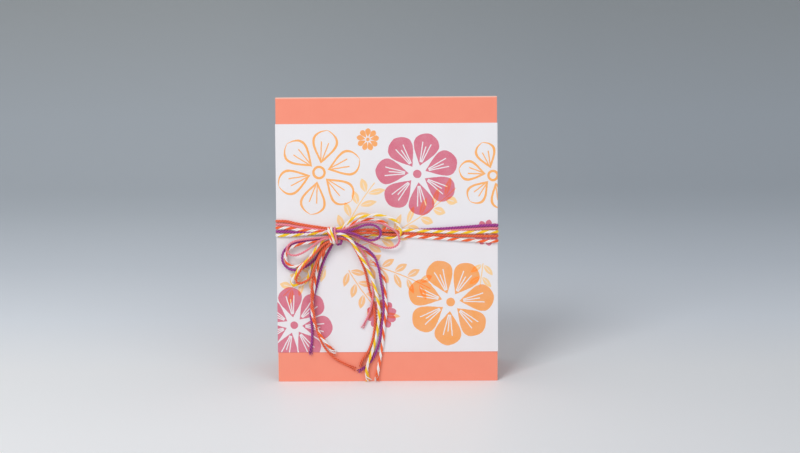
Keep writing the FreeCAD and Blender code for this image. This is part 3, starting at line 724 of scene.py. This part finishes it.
def keepOff(points):
    # yarn lies on the panel and the floor, and is pressed flatter where it turns round the panel's edge
    onFace = np.abs(points[:, 0]) < panelEdge * mm
    out = (points - faceStart) @ faceOut
    sunk = np.where(onFace & (out < 0) & (out > -stack * mm * lying["sunkShare"]), -out, 0)
    points = points + sunk[:, None] * faceOut
    points[:, 2] = np.maximum(points[:, 2], lying["floorGap"] * mm)
    past = np.maximum(np.abs(points[:, 0]) - panelEdge * mm, 0)
    points[:, 0] -= np.sign(points[:, 0]) * past * (1 - lying["edgePress"])
    return points


class Bundle:
    # collects round strands as one mesh
    def __init__(self):
        self.points, self.faces, self.yarnOf, self.uvs = [], [], [], []
        self.count = 0

    def strand(self, line, radii, sides, yarn, outward=None):
        # outward is the way out of the twine, where the yarn's UV goes from 0 round to 1
        sideWays, upWays = carriedFrames(line, outward)
        turns = (np.arange(sides) * math.tau / sides)[None, :, None]
        ring = np.cos(turns) * sideWays[:, None] + np.sin(turns) * upWays[:, None]
        points = line[:, None] + ring * np.asarray(radii)[:, None, None]
        along = distances(line) / mm
        rows, start = len(line), self.count
        for row in range(rows - 1):
            low, high = start + row * sides, start + (row + 1) * sides
            for side in range(sides):
                after = (side + 1) % sides
                self.faces.append((low + side, low + after, high + after, high + side))
                v0, v1 = (0.0, 0.0) if outward is None else (side / sides, (side + 1) / sides)
                here, there = along[row], along[row + 1]
                self.uvs += [(here, v0), (here, v1), (there, v1), (there, v0)]
        last = start + (rows - 1) * sides
        self.faces += [tuple(range(start + sides - 1, start - 1, -1)), tuple(range(last, last + sides))]
        self.uvs += [(along[0], 0.5)] * sides + [(along[-1], 0.5)] * sides
        self.yarnOf += [yarn] * ((rows - 1) * sides + 2)
        self.points.append(points.reshape(-1, 3))
        self.count += rows * sides

    def piece(self, name):
        mesh = bpy.data.meshes.new(name)
        mesh.from_pydata(keepOff(np.concatenate(self.points)).tolist(), [], self.faces)
        names = list(dict.fromkeys(self.yarnOf))
        for yarn in names:
            mesh.materials.append(yarnFinish(yarn))
        mesh.polygons.foreach_set("material_index", [names.index(yarn) for yarn in self.yarnOf])
        mesh.polygons.foreach_set("use_smooth", [True] * len(self.faces))
        layer = mesh.uv_layers.new(name="yarn")
        layer.data.foreach_set("uv", np.array(self.uvs, dtype=np.float32).ravel())
        mesh.update()
        made = bpy.data.objects.new(name, mesh)
        bpy.context.scene.collection.objects.link(made)
        return made


# Spun cotton: fine fibres wound round each strand, some darker and some paler where it is fuzzy, with shade
# painted darker into the grooves between the strands
spun = {
    "roughness": 0.85, "smoothest": 0.72, "fibreRoughness": 0.25,
    "gloss": 0.2, "sheen": 0.35, "sheenRoughness": 0.5,
    "bump": 0.7, "depth": 0.06, "windings": 9.0, "lean": 1.6, "streak": 0.8,
    "grooveFrom": 0.2, "grooveSlope": 2.6,
    "deepFrom": 0.44, "deepSlope": 3.2, "deepShare": 0.7,
    "paleFrom": 0.54, "paleSlope": 3, "paleShare": 0.45, "patch": 1.1, "patchShare": 0.3,
}
yarnFinishes = {}


def yarnFinish(yarn):
    if yarn in yarnFinishes:
        return yarnFinishes[yarn]
    colour, deep, pale = (rgb(*yarns[yarn][key]) for key in ("colour", "deep", "fuzz"))
    sheen = {"Sheen_Weight": spun["sheen"], "Sheen_Roughness": spun["sheenRoughness"]}
    finish = newFinish(f"{yarn}Yarn", spun, **sheen)
    uv = addNode(finish.node_tree, "ShaderNodeUVMap", {"uv_map": "yarn"}, {})
    along, girth = split(uv)[:2]
    inward = 1 - abs(girth - 0.5) * 2
    wound = (along * spun["lean"] + girth) * spun["windings"]
    wound = uv.add("ShaderNodeCombineXYZ", {}, {0: wound, 1: along * spun["streak"]})
    sockets = {"Vector": wound, "Scale": 1.0, "Detail": 3.0, "Roughness": 0.6}
    fibres = uv.add("ShaderNodeTexNoise", {"noise_dimensions": "2D"}, sockets)
    patch = noise(objectPlace(finish), spun["patch"], 2)
    deeper = above(1 - fibres, spun["deepFrom"], spun["deepSlope"]) * spun["deepShare"]
    paler = above(fibres, spun["paleFrom"], spun["paleSlope"]) * spun["paleShare"]
    paler = (paler + (patch - 0.5) * spun["patchShare"]).clamp()
    colour = mixColour(deeper, colour, deep)
    colour = mixColour(paler, colour, pale)
    # painted shade: the side of each strand that faces into the twine takes the darker colour, standing for
    # the shadow in the grooves between strands
    colour = mixColour(above(inward, spun["grooveFrom"], spun["grooveSlope"]), colour, deep)
    feed(finish, "Base Color", colour)
    feed(finish, "Roughness", spun["smoothest"] + fibres * spun["fibreRoughness"])
    feedBump(finish, fibres, spun)
    yarnFinishes[yarn] = finish
    return finish


# Strands, loose hairs and frayed ends, in millimetres. Paces are radians along a millimetre of twine,
# phases set twines and strands apart, and ranges are the shares between which chance picks.
strandShape = {
    "step": 0.26, "fullness": 1.06, "sides": 7, "turnEach": 0.9,
    "wander": 0.25, "wanderPace": 0.31, "wanderPhase": 3,
    "uneven": 0.05, "unevenPace": 1.7, "unevenPhase": 5, "strandPhase": 2.1,
    "splay": 2.2, "splayReach": 6.0, "splayThin": 0.4, "splayRange": (0.5, 1.0),
}
fuzz = {
    "every": 0.45, "length": 0.45, "radius": 0.02, "lift": 0.8, "stray": 0.45, "root": 0.8,
    "steps": [0, 0.55, 1.0], "taper": [1, 0.8, 0.4], "lengthRange": (0.5, 1.3), "bendRange": (-0.3, 0.5),
}
frays = {
    "fibres": 7, "length": 1.15, "spread": 0.5, "radius": 0.045, "thin": 0.6, "points": 5,
    "curl": 0.25, "rootSpread": 0.08, "rootBack": 0.5, "lengthRange": (0.4, 1.0),
}
# How far round the twist stands at the ends of three tails, in radians
endTurns = {"yellow_right_tail": 2.9, "orange_left_tail": 2.9, "orange_right_tail": 5.0}


def twist(bundle, line, colour, chance, start=0.0, swell="swell", opened=False, endTurn=None):
    # lays a twine's strands round its line in a left-handed twist, opened at the end where it is cut
    look = twines[colour]
    line = evenly(line, strandShape["step"] * mm)
    along = distances(line) / mm
    if endTurn is not None:
        start = endTurn + math.tau * along[-1] / look["lay"]
    sideWays, upWays = carriedFrames(line)
    strands = look["strands"]
    sine = math.sin(math.pi / len(strands))
    half = look["width"] / 2 * look[swell]
    strandRadius = half * sine / (1 + sine)
    offset = half - strandRadius
    strandRadius *= strandShape["fullness"]
    ends = []
    for index, yarn in enumerate(strands):
        turn = start + math.tau * index / len(strands) - math.tau * along / look["lay"]
        wandered = along * strandShape["wanderPace"] + start * strandShape["wanderPhase"]
        turn = turn + strandShape["wander"] * np.sin(wandered)
        phase = index * strandShape["strandPhase"] + start * strandShape["unevenPhase"]
        wave = np.sin(along * strandShape["unevenPace"] + phase)
        radii = strandRadius * (1 + strandShape["uneven"] * wave)
        out = np.full(len(along), offset)
        if opened:
            loosened = np.clip((along - along[-1]) / strandShape["splayReach"] + 1, 0, 1) ** 2
            splay = strandShape["splay"] * chance.uniform(*strandShape["splayRange"])
            out = out * (1 + loosened * splay)
            radii = radii * (1 - strandShape["splayThin"] * loosened)
        spoke = np.cos(turn)[:, None] * sideWays + np.sin(turn)[:, None] * upWays
        middle = line + spoke * out[:, None] * mm
        bundle.strand(middle, radii * mm, strandShape["sides"], yarn, spoke)
        addFuzz(bundle, middle, spoke, radii * mm, yarn, chance)
        ends.append((middle, yarn))
    return line, ends


def addFuzz(bundle, middle, spoke, radii, yarn, chance):
    # short loose hairs that stand off a strand
    ways = unit(np.gradient(middle, axis=0))
    count = int(distances(middle)[-1] / mm / fuzz["every"])
    steps = np.array(fuzz["steps"])[:, None]
    for at in chance.integers(1, len(middle) - 1, count):
        stray = ways[at] * chance.choice([-1, 1]) + chance.normal(0, fuzz["stray"], 3)
        aim = unit(spoke[at] * fuzz["lift"] + stray)
        root = middle[at] + spoke[at] * radii[at] * fuzz["root"]
        length = fuzz["length"] * chance.uniform(*fuzz["lengthRange"]) * mm
        bend = spoke[at] * steps ** 2 * length * chance.uniform(*fuzz["bendRange"])
        hair = root + aim * steps * length + bend
        bundle.strand(hair, fuzz["radius"] * mm * np.array(fuzz["taper"]), 3, yarn)


def fray(bundle, ends, chance):
    # loose fibres at each strand's cut end
    for middle, yarn in ends:
        way = unit(middle[-1] - middle[-4])
        for _ in range(frays["fibres"]):
            heading = unit(way + chance.normal(0, frays["spread"], 3))
            curl = chance.normal(0, frays["curl"], 3)
            length = frays["length"] * chance.uniform(*frays["lengthRange"]) * mm
            steps = np.linspace(0, 1, frays["points"])[:, None]
            root = middle[-1] + chance.normal(0, frays["rootSpread"], 3) * mm - way * frays["rootBack"] * mm
            fibre = root + heading * steps * length + curl * steps ** 2 * length
            bundle.strand(fibre, frays["radius"] * (1 - frays["thin"] * steps[:, 0]) * mm, 4, yarn)


def camel(node):
    first, *rest = node.split("_")
    return first + "".join(word.title() for word in rest)


def makeTwine(node, route, seed):
    # a twine's name gives its colour first and its form last
    words = node.split("_")
    colour, form = words[0], words[-1]
    chance = np.random.default_rng(seed)
    bundle = Bundle()
    line, ends = twist(
        bundle, smoothLine(route), colour, chance,
        start=strandShape["turnEach"] * seed,
        swell="held" if form == "band" else "swell",
        opened=form == "tail",
        endTurn=endTurns.get(node),
    )
    if form == "tail":
        fray(bundle, ends, chance)
    piece = bundle.piece(camel(node))
    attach(piece, "root")
    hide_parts(node)
    return piece, line


for number, colour in enumerate(bands):
    makeTwine(f"{colour}_band", bandRoute(colour), number)
print("bands laid round the front")

firstSeed = 11
for number, (node, route) in enumerate(routes.items()):
    piece, line = makeTwine(node, route, number + firstSeed)
    line[::4].tolist() + [line[-1].tolist()]
print("loops and tails tied")


# The knot: short turns of the twines, wrapped over the bundle from below to above, and one turn tucked in.
# A turn has its places across at its foot and top, how low, high and far out it reaches, and where its
# twist starts.
knotShape = {
    "wraps": [
        {"colour": "orange", "across": (-26.9, -28.2), "reach": (69.5, 75.4), "out": 5.4, "start": 4.3},
        {"colour": "yellow", "across": (-25.7, -27.1), "reach": (69.2, 75.5), "out": 5.5, "start": 5.7},
        {"colour": "purple", "across": (-25.3, -26.2), "reach": (69.8, 75.2), "out": 4.9, "start": 0.3},
        {"colour": "pink", "across": (-24.4, -25.4), "reach": (69.2, 75.6), "out": 5.4, "start": 0.8},
    ],
    "tuck": [
        (-24.9, 71.2, 2.4), (-25.0, 69.3, 2.6), (-24.2, 67.9, 2.8),
        (-22.9, 67.9, 2.8), (-22.0, 69.2, 2.6), (-22.3, 71.2, 2.4),
    ],
    "seed": 41,
}


def wrapRoute(wrap):
    # in under the bundle, out and up over its front, and in again above it
    foot, top = wrap["across"]
    low, high = wrap["reach"]
    out = wrap["out"]
    return [
        (foot, low + 1.2, 0.9),
        (foot, low - 0.5, 1.4),
        (foot, low - 0.5, out - 1.2),
        (foot, low + 0.9, out + 0.4),
        ((foot + top) / 2, (low + high) / 2, out + 0.5),
        (top, high - 0.9, out + 0.4),
        (top, high + 0.5, out - 1.2),
        (top, high + 0.5, 1.4),
        (top, high - 1.2, 0.9),
    ]


def makeKnot():
    bundle = Bundle()
    chance = np.random.default_rng(knotShape["seed"])
    for wrap in knotShape["wraps"]:
        twist(bundle, smoothLine(wrapRoute(wrap)), wrap["colour"], chance, start=wrap["start"])
    twist(bundle, smoothLine(knotShape["tuck"]), "purple", chance)
    knot = bundle.piece("bowKnot")
    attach(knot, "root")
    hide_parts("bow_knot")


makeKnot()
print("knot wrapped")


# Floor and backdrop: one pale sweep, in metres. Each tone is a place back and up along it from the card,
# with its colour there, and shade is painted on the sweep, a little darker towards the right, away from the
# key lamp on the left.
sweep = {
    "half": 3.0, "front": -2.0, "back": 0.55, "bend": 0.5, "rise": 1.1, "steps": 16,
    "roughness": 0.5, "gloss": 0.4, "shade": (0.86, 0.87, 0.885, 1), "shadeReach": 0.2,
    "tones": [
        (0.0, (0.95, 0.965, 0.99, 1)), (0.1, (0.86, 0.91, 0.98, 1)), (0.24, (0.715, 0.77, 0.845, 1)),
        (0.45, (0.59, 0.645, 0.71, 1)), (0.8, (0.495, 0.545, 0.6, 1)), (1.1, (0.385, 0.415, 0.435, 1)),
    ],
}


def selectEdge(piece, wanted):
    # in edit mode, leaves only the edges selected whose both ends are wanted
    bpy.ops.mesh.select_mode(type="EDGE")
    bpy.ops.mesh.select_all(action="DESELECT")
    bpy.ops.object.mode_set(mode="OBJECT")
    for edge in piece.data.edges:
        edge.select = all(wanted(piece.data.vertices[corner].co) for corner in edge.vertices)
    bpy.ops.object.mode_set(mode="EDIT")


def makeSweep():
    half, front, back = sweep["half"], sweep["front"], sweep["back"]
    bpy.ops.mesh.primitive_plane_add(size=2, location=(0, 0, 0))
    floor = bpy.context.object
    floor.name = "sweep"
    for corner in floor.data.vertices:
        corner.co = (corner.co.x * half, back if corner.co.y > 0 else front, 0)
    bpy.ops.object.mode_set(mode="EDIT")
    selectEdge(floor, lambda place: place.y > back - mm)
    centre = (0, back, sweep["bend"])
    bpy.ops.mesh.spin(steps=sweep["steps"], angle=-math.pi / 2, center=centre, axis=(1, 0, 0))
    bpy.ops.mesh.extrude_region_move(TRANSFORM_OT_translate={"value": (0, 0, sweep["rise"])})
    bpy.ops.object.mode_set(mode="OBJECT")
    bpy.ops.object.shade_smooth()
    floor.select_set(False)
    floor.data.materials.append(makeSweepFinish())


def makeSweepFinish():
    finish = newFinish("paleSweep", sweep)
    x, y, z = split(objectPlace(finish))
    reach = sweep["tones"][-1][0]
    stops = [(place / reach, tone) for place, tone in sweep["tones"]]
    colour = y.add("ShaderNodeValToRGB", {"stops": stops}, {0: (y + z) / reach})
    # painted shade: the colour is multiplied by the shade colour, more so towards the right
    shaded = (x / (sweep["shadeReach"] * 2) + 0.5).clamp()
    colour = mixColour(shaded, colour, mixColour(1.0, colour, sweep["shade"], "MULTIPLY"))
    feed(finish, "Base Color", colour)
    return finish


makeSweep()

# Light: a soft lamp from the upper left, a weaker one from the right, and an even surround
lamps = [
    {"name": "keyLamp", "at": (-0.55, -0.85, 0.95), "size": 0.55, "power": 8.1},
    {"name": "fillLamp", "at": (0.8, -0.9, 0.6), "size": 0.9, "power": 2.2},
]
lampAim = (0, 0, 0.07)
surround = {"colour": (1.0, 1.0, 1.0, 1.0), "strength": 0.5}


def makeLight():
    for lamp in lamps:
        bpy.ops.object.light_add(type="AREA", location=lamp["at"])
        light = bpy.context.object
        light.name = lamp["name"]
        light.data.size = lamp["size"]
        light.data.energy = lamp["power"]
        aim = Vector(lampAim) - light.location
        light.rotation_euler = aim.to_track_quat("-Z", "Y").to_euler()
        light.select_set(False)
    world = bpy.data.worlds.new("surround")
    world.use_nodes = True
    bpy.context.scene.world = world
    glow = world.node_tree.nodes["Background"]
    glow.inputs["Color"].default_value = surround["colour"]
    glow.inputs["Strength"].default_value = surround["strength"]
    bpy.context.scene.view_settings.view_transform = "Standard"


makeLight()
print("floor and light set")
